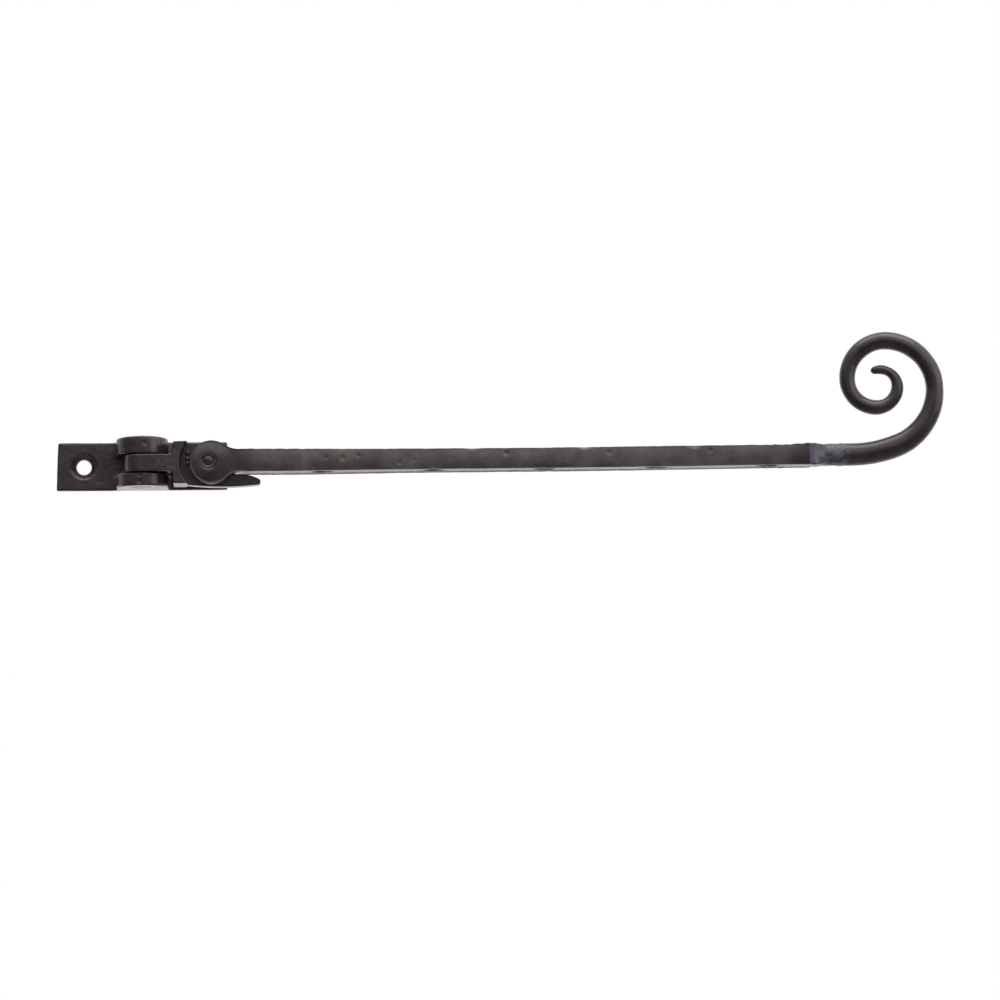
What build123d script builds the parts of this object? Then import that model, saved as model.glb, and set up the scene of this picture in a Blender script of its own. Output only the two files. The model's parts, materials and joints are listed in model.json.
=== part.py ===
"""Casement window stay: fixing bracket, two-way knuckle and flat bar with a scroll tail.

Millimetres.  The origin is the centre of the fixing plate's back face, +X runs
along the bar to the scroll, +Y runs back into the casement rail and +Z is up.
The bar lies level beside the plate, resting on the knuckle's leaf.
"""
import os
from math import cos, radians, sin

from build123d import *

# ---- fixing bracket: a plate with two lugs, one casting ----
PLATE_LENGTH = 54.0
PLATE_HEIGHT = 15.5
PLATE_THICKNESS = 3.4
SCREW_FROM_END = 8.25
SCREW_HOLE = 4.6
SCREW_SINK = 8.2            # countersink on the front face, 90 degrees
LUG_WIDTH = 16.6
LUG_GAP = 6.1
LUG_PAST_PIVOT = 6.2        # lug tip beyond the pivot's axis
LUG_ROOT_R = 1.3
CAST_EDGE_R = 0.4
PIVOT_OUT = 10.6            # vertical pivot's axis in front of the plate

# ---- rivets ----
RIVET_D = 4.5
RIVET_SPREAD = 0.6          # peened end, wider than the shank all round
RIVET_HEAD_DEPTH = 0.6      # depth of the countersink it fills
FORK_RIVET_RECESS = 0.3     # its ends stop this far below the fork's sides
LUG_RIVET_RECESS = 0.05
RUNNING_FIT = 0.05          # radial, where the knuckle turns on a rivet

# ---- knuckle: tongue, cross block, blade and leaf, drawn about the knuckle's own mid-height ----
HANG = 0.4                  # the knuckle and the bar hang this far below the plate's centre
KNUCKLE_WIDTH = 13.6
TONGUE_CLEARANCE = 0.3      # above and below the tongue, between the lugs
TONGUE_END = 5.6            # behind the vertical pivot
TONGUE_CORNER_R = 5.0
BLOCK_CLEARANCE = 1.55      # from the lugs' sides to the block
BLOCK_HEIGHT = 13.6
BLOCK_WALL = 2.05           # at its thinnest, behind the hollow face
BLOCK_BACK_R = 1.8
BLOCK_ROOT_R = 0.9
HOLLOW_CLEARANCE = 3.3      # from the fork's eye to the block's hollow face
BLADE_CLEARANCE = 0.4       # each side of the blade, in the fork's slot
BLADE_STEP = 0.3            # blade's top below the block's
NOSE_CLEARANCE = 1.6        # from the blade's nose to the end of the slot
LEAF_REACH = 16.6           # leaf tip beyond the fork pivot
LEAF_TIP_Z = -6.2
LEAF_TIP_HEIGHT = 1.6
LEAF_DROP = 0.8             # leaf's belly below the block
LEAF_CROWN = 0.65           # its back bows up this far above a straight line
HEEL_DROP = 1.1             # heel of its back, below the bar's underside
STOP_CLEARANCE = 0.1        # bar's underside above the leaf when it rests there

# ---- bar, measured along X from the fork pivot ----
PIVOT_RISE = 0.3            # fork pivot above the knuckle's mid-height
EYE_AHEAD = 0.9             # eye's centre beyond the fork pivot
EYE_R = 6.9
EYE_BLEND_R = 8.0
FORK_WIDTH = 14.5
SLOT_WIDTH = 5.8
SLOT_PAST_EYE = 0.2
BAR_THICKNESS = 6.5
BAR_RISE = 0.8              # bar's centreline above the knuckle's mid-height
SHOULDER_WIDTH = 12.8       # the bar narrows evenly from the fork to the shoulder
SHOULDER_AHEAD = 191.1
SHOULDER_RUN = 7.2
SHOULDER_R = 1.0
WAIST_R = 5.0
NECK_WIDTH = 5.7
NECK_RISE = 1.2             # neck's and rod's centreline above the knuckle's mid-height
NECK_HEIGHT = 7.1           # a little more than the bar, which swells to it
SWELL_RUN = 9.0             # swelling before the shoulder
PEG_HOLE = 7.5
PEG_FIRST = 36.0
PEG_PITCH = 35.4
PEG_COUNT = 5

# ---- scroll tail: straight rod, then tangent arcs that tighten ----
TAIL_LEAD = 6.4
SCROLL_RADII = (39.2, 19.0, 15.8, 12.0, 9.3, 6.65, 5.4, 9.0)
SCROLL_ANGLES = (20, 70, 90, 90, 90, 90, 90, 12)
ROD_HEIGHTS = (7.2, 5.6, 5.5, 4.9, 4.6, 3.8, 2.5, 1.9)   # across the rod where each arc ends
ROD_WIDTHS = (6.0, 5.6, 5.5, 4.9, 4.6, 3.8, 2.5, 1.9)

# ---- places and fits that follow from the sizes above ----
PLATE_FRONT = -PLATE_THICKNESS
PIVOT_Y = PLATE_FRONT - PIVOT_OUT
LUG_R = LUG_WIDTH / 2
LUG_TIP = PIVOT_Y - LUG_PAST_PIVOT
RIVET_HOLE = RIVET_D + 2 * RUNNING_FIT
TONGUE_THICKNESS = LUG_GAP - 2 * TONGUE_CLEARANCE
BLOCK_START = LUG_R + BLOCK_CLEARANCE
HOLLOW_R = EYE_R + HOLLOW_CLEARANCE
BLADE_THICKNESS = SLOT_WIDTH - 2 * BLADE_CLEARANCE
BLADE_TOP = BLOCK_HEIGHT / 2 - BLADE_STEP
EYE_X = BLOCK_START + BLOCK_WALL + HOLLOW_R
FORK_X = EYE_X - EYE_AHEAD
SLOT_END = EYE_X + EYE_R + SLOT_PAST_EYE
NOSE_R = SLOT_END - FORK_X - NOSE_CLEARANCE
SHOULDER_X = FORK_X + SHOULDER_AHEAD
NECK_X = SHOULDER_X + SHOULDER_RUN
BAR_TOP = BAR_RISE + BAR_THICKNESS / 2
BAR_LOW = BAR_RISE - BAR_THICKNESS / 2
SIDE = Plane.XZ.offset(-PIVOT_Y)      # elevations are drawn on the bar's centre plane
FORK_AXIS = Pos(FORK_X, PIVOT_Y, PIVOT_RISE) * Rot(90, 0, 0)


def rivet(length, recess=0.0):
    """A rivet along Z, its two ends peened out into shallow cones."""
    end = length / 2 - recess
    spread = RIVET_SPREAD * (1 - recess / RIVET_HEAD_DEPTH)
    foot = length / 2 - RIVET_HEAD_DEPTH
    outline = Polyline(
        (0, -end), (RIVET_D / 2 + spread, -end), (RIVET_D / 2, -foot),
        (RIVET_D / 2, foot), (RIVET_D / 2 + spread, end), (0, end), close=True)
    return revolve(Plane.XZ * make_face(outline), Axis.Z)


def screw_hole(x):
    """A countersunk hole through the plate."""
    depth = (SCREW_SINK - SCREW_HOLE) / 2
    hole = Cylinder(SCREW_HOLE / 2, 3 * PLATE_THICKNESS)
    sink = Pos(0, 0, PLATE_THICKNESS - depth / 2) * Cone(SCREW_HOLE / 2, SCREW_SINK / 2, depth)
    return Pos(x, 0, 0) * Rot(90, 0, 0) * (hole + sink)


def make_bracket():
    half_x, half_z = PLATE_LENGTH / 2, PLATE_HEIGHT / 2
    outline = Pos(0, PLATE_FRONT / 2) * Rectangle(PLATE_LENGTH, PLATE_THICKNESS)
    outline += Pos(0, (LUG_TIP + LUG_R) / 2) * Rectangle(LUG_WIDTH, -LUG_TIP - LUG_R)
    outline += Pos(0, LUG_TIP + LUG_R) * Circle(LUG_R)
    body = extrude(outline, half_z, both=True)
    gap = Box(2 * LUG_WIDTH, -2 * LUG_TIP, LUG_GAP, align=(Align.CENTER, Align.MAX, Align.CENTER))
    body -= Pos(0, PLATE_FRONT, -HANG) * gap

    upright = body.edges().filter_by(Axis.Z)
    roots = [e for e in upright if abs(abs(e.center().X) - LUG_R) < 0.01
             and abs(e.center().Y - PLATE_FRONT) < 0.01]
    body = fillet(roots, LUG_ROOT_R)
    upright = body.edges().filter_by(Axis.Z)
    body = fillet([e for e in upright if abs(abs(e.center().X) - half_x) < 0.01], CAST_EDGE_R)
    rims = [e for e in body.edges() if abs(abs(e.center().Z) - half_z) < 0.001]
    body = fillet(rims, CAST_EDGE_R)

    for side in (-1, 1):
        body -= screw_hole(side * (half_x - SCREW_FROM_END))
    return body - Pos(0, PIVOT_Y, 0) * rivet(PLATE_HEIGHT)


def bar_outline():
    """Elevation of the bar: round eye, hollow blends, and a shank that swells to the neck."""
    swell = SHOULDER_X - SWELL_RUN
    neck_low, neck_top = NECK_RISE - NECK_HEIGHT / 2, NECK_RISE + NECK_HEIGHT / 2
    face = make_face(Polyline(
        (EYE_X, BAR_LOW), (swell, BAR_LOW), (NECK_X, neck_low),
        (NECK_X, neck_top), (swell, BAR_TOP), (EYE_X, BAR_TOP), close=True))
    face += Pos(EYE_X, 0) * Circle(EYE_R)
    corners = [v for v in face.vertices() if EYE_X < v.X < EYE_X + 1.1 * EYE_R]
    return fillet(corners, EYE_BLEND_R)


def leaf_outline():
    """Elevation of the stop: a blunt-pointed leaf that runs out under the bar."""
    start, end = BLOCK_START + 2, FORK_X + LEAF_REACH
    floor = -BLOCK_HEIGHT / 2
    tip_low, tip_top = LEAF_TIP_Z - LEAF_TIP_HEIGHT / 2, LEAF_TIP_Z + LEAF_TIP_HEIGHT / 2
    heel = (SLOT_END + 1, BAR_LOW - HEEL_DROP)
    crest = ((heel[0] + end) / 2, (heel[1] + tip_top) / 2 + LEAF_CROWN)
    belly = ThreePointArc((start, floor + 0.2), ((start + end) / 2, floor - LEAF_DROP),
                          (end - 0.3, tip_low))
    tip = Line(belly @ 1, (end, tip_top))
    back = ThreePointArc(tip @ 1, crest, heel)
    inner = Polyline(back @ 1, (FORK_X, BAR_LOW), (start, 0), belly @ 0)
    face = make_face([belly, tip, back, inner])
    return fillet(face.vertices().sort_by(Axis.X)[-2:], 0.42 * LEAF_TIP_HEIGHT)


def make_knuckle():
    length = TONGUE_END + BLOCK_START + 1
    tongue = Pos(length / 2 - TONGUE_END, 0) * Rectangle(length, KNUCKLE_WIDTH)
    tongue = fillet(tongue.vertices().sort_by(Axis.X)[:2], TONGUE_CORNER_R)
    body = extrude(Pos(0, PIVOT_Y) * tongue, TONGUE_THICKNESS / 2, both=True)

    block = Box(EYE_X - BLOCK_START, KNUCKLE_WIDTH, BLOCK_HEIGHT,
                align=(Align.MIN, Align.CENTER, Align.CENTER))
    block = Pos(BLOCK_START, PIVOT_Y, 0) * block
    block -= Pos(EYE_X, PIVOT_Y, 0) * Rot(90, 0, 0) * Cylinder(HOLLOW_R, 2 * KNUCKLE_WIDTH)
    back_edge = block.edges().filter_by(GeomType.CIRCLE).sort_by(Axis.Y)[-1]
    body += fillet(back_edge, BLOCK_BACK_R)
    roots = [e for e in body.edges().filter_by(Axis.Y)
             if abs(e.center().X - BLOCK_START) < 0.01
             and abs(abs(e.center().Z) - TONGUE_THICKNESS / 2) < 0.01]
    body = fillet(roots, BLOCK_ROOT_R)

    run = FORK_X - BLOCK_START - 2
    blade = Pos(FORK_X - run / 2, 0) * Rectangle(run, 2 * BLADE_TOP)
    blade += Pos(FORK_X, PIVOT_RISE) * Circle(NOSE_R)
    blade &= Pos(FORK_X - run, 0) * Rectangle(4 * run, 2 * BLADE_TOP)
    blade = extrude(SIDE * (blade + leaf_outline()), BLADE_THICKNESS / 2, both=True)
    bar_room = offset(bar_outline(), STOP_CLEARANCE)
    bar_room &= Pos(SLOT_END - STOP_CLEARANCE, 0) * Rectangle(
        2 * LEAF_REACH, 4 * EYE_R, align=(Align.MIN, Align.CENTER))
    body += blade - extrude(SIDE * bar_room, FORK_WIDTH, both=True)

    body -= Pos(0, PIVOT_Y, 0) * Cylinder(RIVET_HOLE / 2, 2 * PLATE_HEIGHT)
    return body - FORK_AXIS * Cylinder(RIVET_HOLE / 2, 2 * FORK_WIDTH)


def make_bar():
    half_fork, half_end, half_neck = FORK_WIDTH / 2, SHOULDER_WIDTH / 2, NECK_WIDTH / 2
    waist_x = SHOULDER_X + 0.6 * SHOULDER_RUN
    side = [(EYE_X - EYE_R - 1, half_fork), (SLOT_END, half_fork), (SHOULDER_X, half_end),
            (waist_x, half_neck), (NECK_X, half_neck)]
    plan = make_face(Polyline(*side, *[(x, -y) for x, y in reversed(side)], close=True))
    for x, radius in ((waist_x, WAIST_R), (SHOULDER_X, SHOULDER_R)):
        plan = fillet([v for v in plan.vertices() if abs(v.X - x) < 0.01], radius)
    body = extrude(SIDE * bar_outline(), FORK_WIDTH, both=True)
    body &= extrude(Pos(0, PIVOT_Y) * plan, 2 * EYE_R, both=True)

    slot = Box(SLOT_END, SLOT_WIDTH, 3 * EYE_R, align=(Align.MAX, Align.CENTER, Align.CENTER))
    body -= Pos(SLOT_END, PIVOT_Y, 0) * slot
    body -= FORK_AXIS * rivet(FORK_WIDTH)
    for i in range(PEG_COUNT):
        x = FORK_X + PEG_FIRST + PEG_PITCH * i
        body -= Pos(x, PIVOT_Y, BAR_RISE) * Cylinder(PEG_HOLE / 2, 2 * BAR_THICKNESS)
    return body


def scroll_path():
    """Centreline of the rod as edges in elevation, with the turn at every joint."""
    x, z, turned = NECK_X + TAIL_LEAD, NECK_RISE, 0.0
    edges = [Line((NECK_X, z), (x, z))]
    stations = [(NECK_X, z, 0.0), (x, z, 0.0)]
    for radius, angle in zip(SCROLL_RADII, SCROLL_ANGLES):
        cx, cz = x - radius * sin(radians(turned)), z + radius * cos(radians(turned))
        edges.append(CenterArc((cx, cz), radius, turned - 90, angle))
        turned += angle
        x, z = cx + radius * sin(radians(turned)), cz - radius * cos(radians(turned))
        stations.append((x, z, turned))
    return edges, stations


def make_tail():
    edges, stations = scroll_path()
    heights = (NECK_HEIGHT, NECK_HEIGHT) + ROD_HEIGHTS
    widths = (NECK_WIDTH, NECK_WIDTH) + ROD_WIDTHS
    sections = []
    for (x, z, turned), height, width in zip(stations, heights, widths):
        along = (cos(radians(turned)), 0, sin(radians(turned)))
        plane = Plane(origin=(x, PIVOT_Y, z), x_dir=(0, 1, 0), z_dir=along)
        sections.append(plane * Ellipse(width / 2, height / 2))
    x, z, _ = stations[-1]
    rod = Pos(x, PIVOT_Y, z) * Sphere(ROD_HEIGHTS[-1] / 2)
    for edge, start, end in zip(edges, sections, sections[1:]):
        rod += sweep([start, end], path=SIDE * edge, multisection=True)
    return rod


HUNG = Pos(0, 0, -HANG)
PARTS = {
    "fixing_bracket": make_bracket(),
    "vertical_pivot_pin": Pos(0, PIVOT_Y, 0) * rivet(PLATE_HEIGHT, LUG_RIVET_RECESS),
    "knuckle": HUNG * make_knuckle(),
    "fork_pivot_pin": HUNG * FORK_AXIS * rivet(FORK_WIDTH, FORK_RIVET_RECESS),
    "stay_bar": HUNG * make_bar(),
    "scroll_tail": HUNG * make_tail(),
}

os.makedirs("parts", exist_ok=True)
for name, shape in PARTS.items():
    export_step(shape, f"parts/{name}.step")
    box = shape.bounding_box()
    print(name, round(shape.volume, 1), [round(v, 2) for v in (*box.min, *box.max)])
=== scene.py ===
"""Casement window stay: painted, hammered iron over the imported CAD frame.

Every iron piece starts as its CAD node's skin, remeshed into small even quads,
eased at the edges, and marked the way the real one is: hammer dents, casting
grain, pits and dings.  Lengths below are millimetres until they meet Blender.
"""
import json
import math
import random

import bmesh
import bpy
import numpy as np
from mathutils import Matrix, Vector, kdtree, noise


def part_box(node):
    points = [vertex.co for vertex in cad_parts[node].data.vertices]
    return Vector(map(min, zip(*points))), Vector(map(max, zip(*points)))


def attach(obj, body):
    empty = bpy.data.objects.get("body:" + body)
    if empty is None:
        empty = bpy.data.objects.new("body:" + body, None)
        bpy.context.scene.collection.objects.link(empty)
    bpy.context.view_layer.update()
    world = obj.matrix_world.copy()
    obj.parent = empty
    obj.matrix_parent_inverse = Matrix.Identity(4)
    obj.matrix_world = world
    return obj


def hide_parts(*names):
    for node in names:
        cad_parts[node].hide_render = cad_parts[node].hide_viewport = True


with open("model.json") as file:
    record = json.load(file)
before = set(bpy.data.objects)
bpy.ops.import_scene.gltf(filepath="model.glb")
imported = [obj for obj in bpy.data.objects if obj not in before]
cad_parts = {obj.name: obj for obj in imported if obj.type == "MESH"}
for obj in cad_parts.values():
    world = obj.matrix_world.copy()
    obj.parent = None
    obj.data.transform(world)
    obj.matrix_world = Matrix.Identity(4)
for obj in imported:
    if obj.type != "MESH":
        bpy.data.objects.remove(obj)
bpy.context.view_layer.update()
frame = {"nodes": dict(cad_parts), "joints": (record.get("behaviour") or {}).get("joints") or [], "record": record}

scene = bpy.context.scene
nodes = frame["nodes"]
MM = 0.001


def corners(node):
    low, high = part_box(node)
    return np.array(low) / MM, np.array(high) / MM


plate_low, plate_high = corners("fixing_bracket")
bar_low, bar_high = corners("stay_bar")
tail_start = corners("scroll_tail")[0][0]
bores = [m for m in frame["record"]["mounts"] if m["kind"] == "bore"]
holes = [np.array(m["pos_m"]) / MM for m in bores]
hole_r = bores[0]["dims"]["r_mm"]
swing, lift = (np.array(j["pos_m"]) / MM for j in frame["joints"])
AXIS_Y = swing[1]                      # the bar's centre plane
BAR_Z = holes[0][2]                    # the bar's mid-thickness
BAR_HALF = bores[0]["dims"]["length_mm"] / 2
BAR_SIDE = 7.0                         # the bar's half width, near enough for placing marks
BAR_END = bar_high[0]
EYE_R = 6.9                            # the fork's round cheeks
PLATE_FRONT = -3.4
LUG_TIP = plate_low[1]
LUG_R = 8.3
TIP_X, TIP_Z = 232.3, 28.3             # blunt end of the scroll
NECK_Z = BAR_Z + 0.4                   # the neck and the rod lie a little above the bar's middle
NECK_HALF_Y, NECK_HALF_Z = 2.85, 3.55
TURN = 6.28                            # a whole turn, for random angles


# ---------------------------------------------------------------- mesh tools
def link(name, mesh):
    obj = bpy.data.objects.new(name, mesh)
    scene.collection.objects.link(obj)
    return obj


def dense_copy(name, node, voxel):
    """The node's skin as small even quads, which can carry dents and grain."""
    obj = link(name, nodes[node].data.copy())
    remesh = obj.modifiers.new("dense", "REMESH")
    remesh.mode = "VOXEL"
    remesh.voxel_size = voxel * MM
    graph = bpy.context.evaluated_depsgraph_get()
    mesh = bpy.data.meshes.new_from_object(obj.evaluated_get(graph))
    obj.modifiers.clear()
    obj.data = mesh
    mesh.materials.clear()
    return obj


class Skin:
    """A mesh's vertices in millimetres, to be eased and pushed along their normals."""

    def __init__(self, obj):
        self.mesh = obj.data
        count = len(self.mesh.vertices)
        flat = np.empty(count * 3)
        self.mesh.vertices.foreach_get("co", flat)
        self.co = flat.reshape(-1, 3) / MM
        edges = np.empty(len(self.mesh.edges) * 2, int)
        self.mesh.edges.foreach_get("vertices", edges)
        self.edges = edges.reshape(-1, 2)
        self.degree = np.bincount(self.edges.ravel(), minlength=count)[:, None]
        self.store()

    def store(self):
        self.mesh.vertices.foreach_set("co", (self.co * MM).ravel())
        self.mesh.update()
        flat = np.empty(len(self.co) * 3)
        self.mesh.vertex_normals.foreach_get("vector", flat)
        self.normal = flat.reshape(-1, 3)

    def ease(self, rounds, amount=0.5):
        """Rounds the edges off, as casting and paint do."""
        a, b = self.edges.T
        for _ in range(rounds):
            total = np.zeros_like(self.co)
            for axis in range(3):
                column = self.co[:, axis]
                total[:, axis] = (np.bincount(a, column[b], len(column))
                                  + np.bincount(b, column[a], len(column)))
            self.co += amount * (total / self.degree - self.co)
        self.store()

    def push(self, depth):
        """Moves each vertex along its normal by depth, in millimetres."""
        self.co += self.normal * depth[:, None]
        self.store()

    def lumps(self, size, seed, octaves=1):
        """Smooth noise from about -1 to 1, its features this many millimetres wide."""
        offset = Vector((seed * 7.3, seed * 3.1, -seed * 5.7))
        if octaves == 1:
            return np.array([noise.noise(Vector(p) / size + offset) for p in self.co])
        return np.array([noise.fractal(Vector(p) / size + offset, 1.0, 2.1, octaves)
                         for p in self.co])

    def dents(self, marks):
        """Bowl-shaped marks: (centre, radius, depth), a negative depth being a bump."""
        tree = kdtree.KDTree(len(self.co))
        for i, p in enumerate(self.co):
            tree.insert(p, i)
        tree.balance()
        depth = np.zeros(len(self.co))
        for centre, radius, sink in marks:
            for _, i, far in tree.find_range(centre, radius):
                depth[i] -= sink * (1 - (far / radius) ** 2) ** 2
        self.push(depth)


def smooth(values, low, high):
    t = np.clip((values - low) / (high - low), 0, 1)
    return t * t * (3 - 2 * t)


def reflection_facing(skin):
    """1 on faces that look towards -Y, where the painted blue reflection on the dressed weld is laid."""
    return smooth(-skin.normal[:, 1], 0.2, 0.7)


def paint_weight(obj, name, values):
    """Stores a 0 to 1 value at each vertex for the material to read."""
    layer = obj.data.attributes.new(name, "FLOAT", "POINT")
    layer.data.foreach_set("value", np.clip(values, 0, 1).astype(np.float32))


def finish_piece(obj, node, body, material):
    obj.data.shade_smooth()
    obj.data.materials.append(material)
    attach(obj, body)
    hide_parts(node)
    return obj


# ---------------------------------------------------------------- materials
WARM_BLACK, COOL_BLACK = (0.034, 0.0255, 0.0275), (0.018, 0.0125, 0.017)
BARE_AND_HIGHLIGHT_DARK, BARE_AND_HIGHLIGHT_LIGHT = (0.054, 0.044, 0.047), (0.092, 0.086, 0.077)     # bare iron where paint is rubbed, also a painted highlight on the fork's top and the shank's upper part
# convex edges lightened: partly worn paint, partly a painted glint
EDGE_WEAR_AND_GLINT = (0.085, 0.074, 0.072)
# a painted blue reflection, mottled, laid over the dressed weld
WELD_BLUE_REFLECTION = (0.078, 0.075, 0.102)
BUMP = 0.05                            # height of the finest grain


def black_paint(name, grain, streaks, gloss, tint):
    """Satin black paint over iron: two close blacks in patches, fine grain, and edges lightened by wear and a
    painted glint.

    grain and streaks are bump strengths, gloss is the mean roughness and tint scales the blacks.
    Two attributes say where the paint is worn, with a painted highlight on the fork's top and the shank's upper
    part, and where a painted blue reflection lies over a dressed weld.
    """
    material = bpy.data.materials.new(name)
    material.use_nodes = True
    tree = material.node_tree
    shader = tree.nodes["Principled BSDF"]
    make, join = tree.nodes.new, tree.links.new

    place = make("ShaderNodeTexCoord").outputs["Object"]

    def noise_at(size, detail=3.0, rough=0.55, stretch=(1, 1, 1), turn=(0, 0, 0)):
        mapping = make("ShaderNodeMapping")
        mapping.inputs["Scale"].default_value = stretch
        mapping.inputs["Rotation"].default_value = turn
        texture = make("ShaderNodeTexNoise")
        texture.inputs["Scale"].default_value = 1 / (size * MM)
        texture.inputs["Detail"].default_value = detail
        texture.inputs["Roughness"].default_value = rough
        join(place, mapping.inputs["Vector"])
        join(mapping.outputs["Vector"], texture.inputs["Vector"])
        return texture.outputs["Fac"]

    def ramp(value, low, high, colour_low, colour_high):
        node = make("ShaderNodeValToRGB")
        node.color_ramp.elements[0].position = low
        node.color_ramp.elements[1].position = high
        node.color_ramp.elements[0].color = (*colour_low, 1)
        node.color_ramp.elements[1].color = (*colour_high, 1)
        join(value, node.inputs["Fac"])
        return node.outputs["Color"]

    def mix(factor, first, second):
        node = make("ShaderNodeMix")
        node.data_type = "RGBA"
        join(factor, node.inputs["Factor"])
        join(first, node.inputs["A"])
        join(second, node.inputs["B"])
        return node.outputs["Result"]

    def spread(value, low, high, to_low, to_high):
        node = make("ShaderNodeMapRange")
        join(value, node.inputs["Value"])
        for socket, number in (("From Min", low), ("From Max", high),
                               ("To Min", to_low), ("To Max", to_high)):
            node.inputs[socket].default_value = number
        return node.outputs["Result"]

    def flat(colour):
        node = make("ShaderNodeRGB")
        node.outputs[0].default_value = (*colour, 1)
        return node.outputs[0]

    def painted(attribute):
        node = make("ShaderNodeAttribute")
        node.attribute_name = attribute
        return node.outputs["Fac"]

    warm, cool = (tuple(c * tint for c in black) for black in (WARM_BLACK, COOL_BLACK))
    patches = ramp(noise_at(8, 4), 0.36, 0.64, cool, warm)
    rubbed_and_highlight = painted("rubbed_and_highlight")
    dust = ramp(noise_at(1.0, 5, 0.65), 0.56, 0.8, (0, 0, 0), (0.45, 0.45, 0.45))
    # convex edges lightened, partly as wear and partly as a painted glint
    edge_wear_and_glint = ramp(make("ShaderNodeNewGeometry").outputs["Pointiness"],
                0.53, 0.62, (0, 0, 0), (0.6, 0.6, 0.6))

    # bare iron where the paint is worn; the same colour lies as a painted highlight on the fork's top and the
    # shank's upper part
    bare_and_highlight = ramp(noise_at(7, 3, 0.6), 0.38, 0.62, BARE_AND_HIGHLIGHT_DARK, BARE_AND_HIGHLIGHT_LIGHT)
    colour = mix(rubbed_and_highlight, patches, bare_and_highlight)
    colour = mix(dust, colour, flat(tuple(c * 1.7 for c in warm)))
    # a mottled painted blue reflection over the dressed weld
    reflection_blotch = make("ShaderNodeMath")
    reflection_blotch.operation = "MULTIPLY"
    join(painted("weld_reflection"), reflection_blotch.inputs[0])
    join(spread(noise_at(2.0, 3, 0.6), 0.42, 0.58, 0.1, 1.0), reflection_blotch.inputs[1])
    colour = mix(reflection_blotch.outputs[0], colour, flat(WELD_BLUE_REFLECTION))
    colour = mix(edge_wear_and_glint, colour, flat(EDGE_WEAR_AND_GLINT))
    join(colour, shader.inputs["Base Color"])
    dull = make("ShaderNodeMath")
    dull.operation = "MULTIPLY_ADD"
    dull.inputs[1].default_value = 0.14
    join(rubbed_and_highlight, dull.inputs[0])
    join(spread(noise_at(3.0, 5, 0.6), 0.3, 0.7, gloss - 0.08, gloss + 0.10), dull.inputs[2])
    join(dull.outputs[0], shader.inputs["Roughness"])
    shader.inputs["Specular Tint"].default_value = (1.0, 0.88, 0.94, 1)
    shader.inputs["IOR"].default_value = 1.5
    shader.inputs["Coat Weight"].default_value = 0.5
    shader.inputs["Coat Roughness"].default_value = 0.16

    def bump(strength, height, under=None):
        node = make("ShaderNodeBump")
        node.inputs["Strength"].default_value = strength
        node.inputs["Distance"].default_value = BUMP * MM
        join(height, node.inputs["Height"])
        if under:
            join(under, node.inputs["Normal"])
        return node.outputs["Normal"]

    fine = bump(grain, noise_at(0.6, 4, 0.6))
    brushed = bump(streaks, noise_at(0.55, 2, 0.5, (1, 0.12, 1), (0.3, 0.4, 0.9)), fine)
    join(brushed, shader.inputs["Normal"])
    join(brushed, shader.inputs["Coat Normal"])
    return material


CAST = black_paint("black_cast", grain=0.16, streaks=0.5, gloss=0.31, tint=1.25)
HAMMERED = black_paint("black_hammered", grain=0.3, streaks=0.2, gloss=0.36, tint=1.0)
ROD = black_paint("black_rod", grain=0.15, streaks=0.1, gloss=0.32, tint=0.95)
RIVET = black_paint("black_rivet", grain=0.3, streaks=0.1, gloss=0.34, tint=0.9)


# ---------------------------------------------------------------- fixing bracket
def make_bracket():
    obj = dense_copy("bracket_casting", "fixing_bracket", voxel=0.25)
    skin = Skin(obj)
    skin.ease(4)
    x, y, z = skin.co.T
    free = 1 - smooth(y, -1.2, -0.2)         # the fixing face stays flat
    # the upper lug's top is crowned, and the plate's underside leans back
    crown = smooth(-y, 4.5, 9) * np.clip(1 - (x / LUG_R) ** 2, 0, 1) ** 0.5
    skin.co[:, 2] += 0.5 * crown * smooth(z, 5, 7.5)
    skin.co[:, 2] += 0.07 * np.clip(y - PLATE_FRONT, 0, -PLATE_FRONT) * (1 - smooth(z, -7.7, -6.5))
    # the plate's free end was cut a little out of square
    skin.co[:, 0] -= 0.6 * smooth(-x, 20, 27) * (plate_high[2] - z) / (2 * plate_high[2])
    skin.store()
    skin.push(free * (0.09 * skin.lumps(8, 1) + 0.035 * skin.lumps(1.6, 2) - 0.06))
    rng = random.Random(11)
    # three pits in the lugs' ends, then faint dings below and above and on the front
    marks = [((0.95, LUG_TIP, 5.9), 1.1, 0.28), ((-0.8, LUG_TIP, -4.3), 1.0, 0.25),
             ((-0.8, LUG_TIP, -6.3), 1.1, 0.28)]
    for _ in range(60):
        marks.append(((rng.uniform(plate_low[0], plate_high[0]), rng.uniform(LUG_TIP, 0),
                       rng.choice((plate_low[2], plate_high[2]))),
                      rng.uniform(0.6, 1.6), rng.uniform(0.03, 0.09)))
    for _ in range(26):
        marks.append(((rng.uniform(plate_low[0], plate_high[0]), PLATE_FRONT,
                       rng.uniform(plate_low[2], plate_high[2])),
                      rng.uniform(0.6, 1.8), rng.uniform(0.03, 0.08)))
    skin.dents(marks)
    return finish_piece(obj, "fixing_bracket", "bracket", CAST)


# ---------------------------------------------------------------- knuckle
def make_knuckle():
    obj = dense_copy("knuckle_casting", "knuckle", voxel=0.2)
    skin = Skin(obj)
    skin.ease(4)
    x, y, z = skin.co.T
    # coarsest in the corners where the tongue meets the block
    root = smooth(x, 4.5, 8.5) * (1 - smooth(x, 10, 11.5)) * smooth(np.abs(z), 1.5, 2.5)
    skin.push(0.07 * skin.lumps(6, 3) + 0.03 * skin.lumps(1.3, 4)
              + root * 0.16 * skin.lumps(1.5, 5) - 0.05)
    # three pips cast on the block beside the fork
    skin.dents([((14.4, AXIS_Y - 2.5, height), 0.75, -0.3) for height in (2.8, 1.0, -0.6)])
    return finish_piece(obj, "knuckle", "knuckle", CAST)


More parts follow.
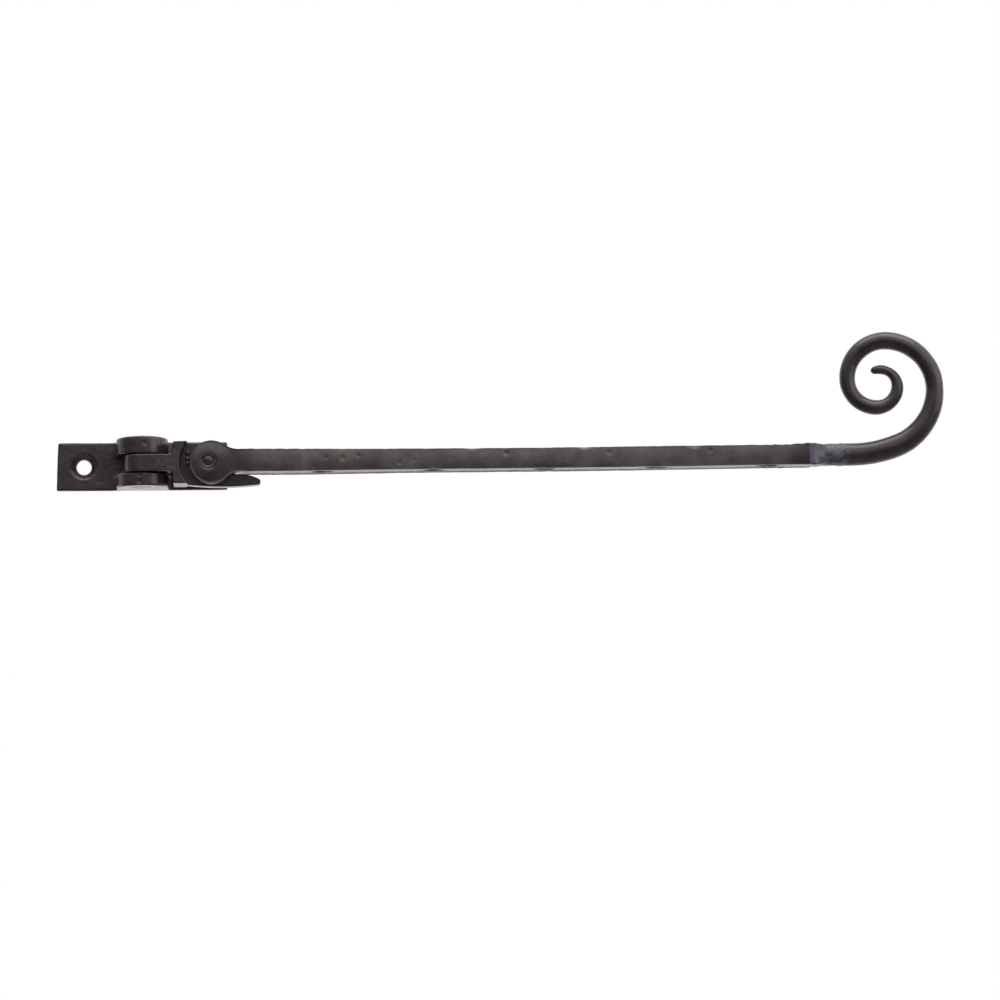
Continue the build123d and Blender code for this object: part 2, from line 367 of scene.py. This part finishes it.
# ---------------------------------------------------------------- rivets
def make_rivet(name, node, body, centre, turn, radius, half, rings, lean, seed):
    """A peened rivet: a straight shank and two hammered ends.

    rings are (share of the radius, height above the end, share of the off-centre shift).
    lean is that shift across the shank, and half is half the shank's length.
    """
    shank = radius - 0.5
    profile = [(r * radius, half + h, off) for r, h, off in rings] + [(shank, half - 0.55, 0)]
    profile += [(r, -h, off) for r, h, off in reversed(profile)]
    mesh = bpy.data.meshes.new(name)
    build = bmesh.new()
    turns, rng = 96, random.Random(seed)
    phase = [rng.uniform(0, TURN) for _ in range(3)]
    loops = []
    for r, h, off in profile:
        if r == 0:
            loops.append([build.verts.new((lean[0] * off * MM, lean[1] * off * MM, h * MM))])
            continue
        loop = []
        for k in range(turns):
            a = 2 * math.pi * k / turns
            out = r * (1 + 0.03 * off * math.sin(2 * a + phase[0])
                       + 0.02 * off * math.sin(3 * a + phase[1]))
            tip = 0.05 * off * math.sin(a + phase[2])
            loop.append(build.verts.new(((out * math.cos(a) + lean[0] * off) * MM,
                                         (out * math.sin(a) + lean[1] * off) * MM,
                                         (h + tip) * MM)))
        loops.append(loop)
    for one, two in zip(loops, loops[1:]):
        for k in range(turns):
            n = (k + 1) % turns
            if len(one) == 1:
                build.faces.new((one[0], two[k], two[n]))
            elif len(two) == 1:
                build.faces.new((one[k], two[0], one[n]))
            else:
                build.faces.new((one[k], two[k], two[n], one[n]))
    bmesh.ops.recalc_face_normals(build, faces=build.faces)
    build.to_mesh(mesh)
    build.free()
    mesh.transform(Matrix.Translation(Vector(centre) * MM) @ turn.to_4x4())
    return finish_piece(link(name, mesh), node, body, RIVET)


# the fork's rivet was struck off centre: a rim, a groove and a leaning dome; the other is flush
STRUCK = ((0.0, 0.28, 1), (0.2, 0.26, 1), (0.38, 0.16, 1), (0.47, 0.02, 1), (0.54, -0.24, 1),
          (0.64, -0.30, 0.8), (0.74, -0.16, 0.5), (0.84, 0.04, 0.3), (0.92, 0.02, 0.1),
          (1.0, -0.2, 0))
FLUSH = ((0.0, 0.03, 1), (0.45, 0.03, 1), (0.78, 0.0, 0.5), (0.88, -0.05, 0.2), (0.94, -0.03, 0),
         (1.0, -0.15, 0))


# ---------------------------------------------------------------- bar
# pits in the bar's near side: along, height and size
PITS = ((54.6, -2.3, 0.7), (58.7, 0.6, 0.85), (63.8, 0.5, 1.1), (68.8, 1.1, 0.8),
        (81.9, -1.1, 1.0), (86.8, -0.4, 0.7), (92.9, -2.5, 0.8),
        (115.9, 1.5, 1.0), (148.4, 1.6, 0.9), (180.7, 1.9, 0.9))
FOLDS = (105.3, 140.7, 175.7)          # where the near top edge folded over


def bar_marks():
    """The bar's dents as (centre, radius, depth)."""
    rng = random.Random(5)
    marks = []
    for _ in range(150):                       # soft hammer marks on the broad faces
        face = rng.choice((-0.7, 1))
        marks.append(((rng.uniform(31, BAR_END - 6), AXIS_Y + face * rng.uniform(-6.6, 6.6),
                       BAR_Z + math.copysign(3.2, face)),
                      rng.uniform(1.2, 3.2), rng.uniform(0.03, 0.08)))
    for hole in holes:                         # torn metal about the punched holes
        for _ in range(13):
            a, far = rng.uniform(0, TURN), hole_r + rng.uniform(0.9, 3.2)
            marks.append(((hole[0] + far * math.cos(a), hole[1] + 0.8 * far * math.sin(a),
                           BAR_Z + rng.choice((-3.2, 3.2))),
                          rng.uniform(0.5, 1.1), rng.uniform(0.12, 0.3)))
    for along, height, size in PITS:
        marks.append(((along, AXIS_Y - 6.8, height), 1.2 * size, 0.42 * size))
    for _ in range(12):                        # pits in the far side
        marks.append(((rng.uniform(40, BAR_END - 12), AXIS_Y + 6.8, rng.uniform(-2, 3)),
                      rng.uniform(0.6, 1.1), rng.uniform(0.12, 0.3)))
    near_edge, top = AXIS_Y - 6.9, BAR_Z + 3.3
    for along in FOLDS:                        # a row of notches, deepest in the middle
        for step in range(-3, 4):
            reach = 1.6 * (1 - abs(step) / 4.5)
            marks.append(((along + step * 1.05, near_edge + 0.3, top), reach, 0.26 * reach))
        marks.append(((along - 7.5, near_edge + 1.6, top - 0.2), 1.3, 0.2))
    for _ in range(20):                        # dings along the upper edges
        marks.append(((rng.uniform(34, BAR_END - 10),
                       AXIS_Y + rng.choice((-BAR_SIDE, BAR_SIDE)), BAR_Z + 3.5),
                      rng.uniform(1.2, 2.6), rng.uniform(0.04, 0.13)))
    return marks


def round_neck(skin):
    """Rounds the neck's corners off towards the rod, and brings its end up to the rod's."""
    x, y, z = skin.co.T
    neck = smooth(x, BAR_END - 5.5, BAR_END - 0.5)
    tall = (z - NECK_Z) / NECK_HALF_Z
    wide = (y - AXIS_Y) / NECK_HALF_Y
    corner = np.maximum(np.abs(tall), np.abs(wide)) / np.maximum(np.hypot(tall, wide), 0.1)
    pull = neck * (corner - 1)
    skin.co[:, 1] += pull * (y - AXIS_Y)
    skin.co[:, 2] += pull * (z - NECK_Z)
    skin.co[:, 0] += 0.45 * smooth(x, BAR_END - 0.6, BAR_END - 0.2)
    skin.store()


def make_bar():
    obj = dense_copy("stay_bar_forged", "stay_bar", voxel=0.32)
    skin = Skin(obj)
    skin.ease(3)
    x, y, z = skin.co.T
    shank = smooth(x, 27, 34) * (1 - smooth(x, BAR_END - 11, BAR_END - 2))
    up = (z - BAR_Z) / BAR_HALF
    below = np.clip((1 - up) / 2, 0, 1)
    across = (y - AXIS_Y) / BAR_SIDE
    outer = smooth(np.abs(y - AXIS_Y), 4.6, 5.6)
    facing_side = np.abs(skin.normal[:, 1]) ** 3 * outer
    facing_up = np.abs(skin.normal[:, 2]) ** 3
    # forged by eye: it sags a little between fork and shoulder and is thickest near the fork
    along = np.clip((x - 30) / (BAR_END - 16 - 30), 0, 1)
    sag = 0.42 * np.sin(math.pi * along ** 0.85) * shank
    stout = 0.55 * shank * (1 - smooth(x, 34, 95))
    skin.co[:, 2] += -sag + (0.12 - 1.12 * below) * stout + 0.05 * np.clip(up, -1, 1) * shank
    # the underside leans back, as drawn from a mould, to a small lip at its far edge
    lip = smooth(y, AXIS_Y + 5.5, AXIS_Y + 6.2)
    skin.co[:, 2] += below * (0.030 * (y - AXIS_Y + BAR_SIDE) - 0.34 * lip) * shank
    # sides and fork cheeks a little fuller along their middles
    eye = np.hypot(x - (bar_low[0] + EYE_R), z - lift[2]) / EYE_R
    cheek = (1 - smooth(x, 27, 34)) * np.clip(eye, 0, 1) ** 2
    skin.co[:, 1] -= np.sign(y - AXIS_Y) * facing_side * (0.34 * shank * up ** 2 + 0.60 * cheek)
    skin.store()
    round_neck(skin)

    # roughest about the peg holes and where the metal was crumpled before the shoulder
    from_hole = np.min([np.hypot(x - h[0], y - h[1]) for h in holes], axis=0)
    near_hole = 1 - smooth(from_hole, hole_r + 0.5, hole_r + 5)
    rim = smooth(from_hole, hole_r + 0.1, hole_r + 0.7)
    crumple = smooth(x, BAR_END - 30, BAR_END - 20) * (1 - smooth(x, BAR_END - 8, BAR_END - 2))
    first = smooth(x, 29, 33) * (1 - smooth(x, 44, 54))
    patches = smooth(skin.lumps(12, 6), -0.1, 0.4)
    rough = np.clip(0.22 + 0.35 * patches + 0.8 * near_hole + 1.2 * crumple + 0.5 * first, 0, 1.6)
    waist = smooth(x, BAR_END - 11, BAR_END - 7)
    flank = smooth(-across, 0.5, 0.95) * below       # the near lower edge was left crisp
    rough = rough * (0.06 + facing_up + 0.4 * waist) * rim * (1 - 0.8 * flank) * (1 - 0.5 * below)
    ridges = 1 - np.abs(2.4 * skin.lumps(2.8, 8, 2))
    skin.push(0.06 * skin.lumps(14, 9) + 0.03 * skin.lumps(5, 10)
              + rough * (0.13 * skin.lumps(1.9, 7, 3) - 0.07 * np.clip(ridges, 0, 1)))
    skin.dents(bar_marks())

    # paint is rubbed on the shank, and the fork's brow and the shank's upper part are lightened as a painted
    # highlight
    wear_and_top_highlight = 0.62 + 0.38 * smooth(up + 1.5 * skin.lumps(16, 21, 2), -0.85, -0.1)
    brow_highlight = smooth(z, -1, 6) * (1 - smooth(x, 24, 34))
    shaft = wear_and_top_highlight * smooth(x, 24, 42) * (1 - smooth(x, BAR_END - 19, BAR_END - 8))
    paint_weight(obj, "rubbed_and_highlight", np.maximum(brow_highlight, shaft))
    # a painted blue reflection over the dressed weld, strongest on faces looking to -Y
    paint_weight(obj, "weld_reflection",
                 smooth(x, BAR_END - 6.5, BAR_END - 5) * (0.25 + 0.75 * reflection_facing(skin)))
    return finish_piece(obj, "stay_bar", "bar", HAMMERED)


# ---------------------------------------------------------------- scroll
def make_tail():
    obj = dense_copy("scroll_rod", "scroll_tail", voxel=0.25)
    skin = Skin(obj)
    skin.ease(5)
    x, y, z = skin.co.T
    stem = 1 - smooth(z, 5, 8)
    lumpy = (1 - smooth(x, tail_start + 2, tail_start + 8)) * stem
    # the rod's blunt tip lies in the eye of the scroll
    tip = 1 - smooth(np.hypot(x - TIP_X, z - TIP_Z), 1.5, 6)
    skin.push(0.08 * skin.lumps(7, 12) + 0.02 * skin.lumps(2.2, 13) + 0.06 + 0.28 * tip
              + lumpy * 0.13 * skin.lumps(1.5, 14, 2))
    skin.co[:, 0] -= 0.6 * (1 - smooth(x, tail_start, tail_start + 0.5)) * stem
    # curled by eye: the scroll stands a shade further out and higher than drawn
    curl = np.maximum(smooth(x, tail_start + 6, tail_start + 20), smooth(z, 4, 10))
    skin.co[:, 0] += 0.45 * curl
    skin.co[:, 2] += 0.25 * curl
    skin.store()
    # a painted blue reflection over the dressed weld, strongest on faces looking to -Y
    weld_reflection = (1 - smooth(x, tail_start + 3, tail_start + 6.5)) * stem
    paint_weight(obj, "weld_reflection", weld_reflection * (0.25 + 0.75 * reflection_facing(skin)))
    return finish_piece(obj, "scroll_tail", "bar", ROD)


make_bracket()
make_knuckle()
make_rivet("pivot_rivet", "vertical_pivot_pin", "bracket", centre=(0, AXIS_Y, 0),
           turn=Matrix.Identity(3), radius=2.74, half=7.68, rings=FLUSH, lean=(0, 0), seed=3)
make_rivet("fork_rivet", "fork_pivot_pin", "bar", centre=(lift[0], AXIS_Y, lift[2]),
           turn=Matrix.Rotation(math.pi / 2, 3, "X"), radius=2.5, half=6.9, rings=STRUCK,
           lean=(-0.22, 0.18), seed=8)
make_bar()
make_tail()


# ---------------------------------------------------------------- stage
def plain(name, colour, roughness):
    material = bpy.data.materials.new(name)
    material.use_nodes = True
    shader = material.node_tree.nodes["Principled BSDF"]
    shader.inputs["Base Color"].default_value = (*colour, 1)
    shader.inputs["Roughness"].default_value = roughness
    shader.inputs["Emission Color"].default_value = (1, 1, 1, 1)
    shader.inputs["Emission Strength"].default_value = 0.1
    return material


def flat_card(name, size_x, size_y, centre, material):
    mesh = bpy.data.meshes.new(name)
    hx, hy = size_x / 2, size_y / 2
    mesh.from_pydata([(-hx, -hy, 0), (hx, -hy, 0), (hx, hy, 0), (-hx, hy, 0)], [],
                     [(0, 1, 2, 3)])
    mesh.materials.append(material)
    card = link(name, mesh)
    card.location = centre
    card.visible_glossy = False        # the paint mirrors the soft world, not the floor's edge
    return card


flat_card("floor", 30.0, 15.8, (0.11, 7.1, -0.6), plain("pale_floor", (0.93, 0.93, 0.925), 0.9))


def area_light(name, place, aim, size, power, colour):
    data = bpy.data.lights.new(name, "AREA")
    data.shape = "RECTANGLE"
    data.size, data.size_y = size
    data.energy = power
    data.color = colour
    lamp = bpy.data.objects.new(name, data)
    scene.collection.objects.link(lamp)
    lamp.location = place
    lamp.rotation_euler = (Vector(aim) - Vector(place)).to_track_quat("-Z", "Y").to_euler()
    return lamp


MID = (0.11, -0.014, 0.0)
area_light("overhead", (0.11, -0.35, 1.3), MID, (1.6, 1.0), 11, (1.0, 0.97, 0.96))
area_light("cool_side", (1.28, -0.56, 0.15), MID, (1.3, 0.8), 3.6, (0.82, 0.82, 1.0))

# brightness at directions from -1 to 1: in front from below to above, and from left to right
FRONT_GLOW = ((-1.0, 0.26), (-0.35, 0.03), (-0.03, 0.06), (0.25, 0.65), (0.6, 1.25))
SIDE_SHADE = ((-0.8, 0.45), (0.2, 1.0))
BEHIND = ((0.05, 0.0), (0.45, 1.0))     # how far a direction counts as behind the stay
BACK_GLOW = (1.0, 0.95, 0.91)


def studio_world():
    """White behind the stay, dim in front of it and brighter overhead; white to the camera."""
    world = bpy.data.worlds.new("soft_white")
    world.use_nodes = True
    tree = world.node_tree
    make, join = tree.nodes.new, tree.links.new
    split = make("ShaderNodeSeparateXYZ")
    join(make("ShaderNodeTexCoord").outputs["Generated"], split.inputs[0])

    def glow(value, stops):
        node = make("ShaderNodeValToRGB")
        ends = node.color_ramp.elements
        while len(ends) < len(stops):
            ends.new(0.5)
        for end, (spot, level) in zip(ends, stops):
            end.position = (spot + 1) / 2
            end.color = (level, level, level, 1)
        place = make("ShaderNodeMapRange")
        place.inputs["From Min"].default_value = -1
        join(value, place.inputs["Value"])
        join(place.outputs["Result"], node.inputs["Fac"])
        return node.outputs["Color"]

    front = glow(split.outputs["Z"], FRONT_GLOW)
    behind = glow(split.outputs["Y"], BEHIND)
    shade = make("ShaderNodeMix")
    shade.data_type = "RGBA"
    shade.blend_type = "MULTIPLY"
    shade.inputs["Factor"].default_value = 1
    join(front, shade.inputs["A"])
    join(glow(split.outputs["X"], SIDE_SHADE), shade.inputs["B"])
    whole = make("ShaderNodeMix")
    whole.data_type = "RGBA"
    join(behind, whole.inputs["Factor"])
    join(shade.outputs["Result"], whole.inputs["A"])
    whole.inputs["B"].default_value = (*BACK_GLOW, 1)
    unlit = make("ShaderNodeBackground")
    unlit.inputs["Color"].default_value = (1, 1, 1, 1)
    lit = tree.nodes["Background"]
    join(whole.outputs["Result"], lit.inputs["Color"])
    choose = make("ShaderNodeMixShader")
    join(make("ShaderNodeLightPath").outputs["Is Camera Ray"], choose.inputs["Fac"])
    join(lit.outputs["Background"], choose.inputs[1])
    join(unlit.outputs["Background"], choose.inputs[2])
    join(choose.outputs["Shader"], tree.nodes["World Output"].inputs["Surface"])
    scene.world = world


studio_world()


# ---------------------------------------------------------------- camera
AIM = Vector((0.1137, -0.0212, -0.01345))
DISTANCE, TILT, ROLL = 5.5, math.radians(-5.5), math.radians(-0.5)
FRAME_WIDTH = 0.3175
lens = bpy.data.cameras.new("camera")
lens.sensor_width = 36
lens.lens = 36 * DISTANCE / FRAME_WIDTH
lens.clip_start = 0.05
camera = bpy.data.objects.new("camera", lens)
scene.collection.objects.link(camera)
camera.location = AIM + DISTANCE * Vector((0, -math.cos(TILT), math.sin(TILT)))
look = (AIM - camera.location).to_track_quat("-Z", "Y").to_matrix()
camera.rotation_euler = (look @ Matrix.Rotation(ROLL, 3, "Z")).to_euler()
scene.camera = camera
scene.view_settings.view_transform = "Standard"
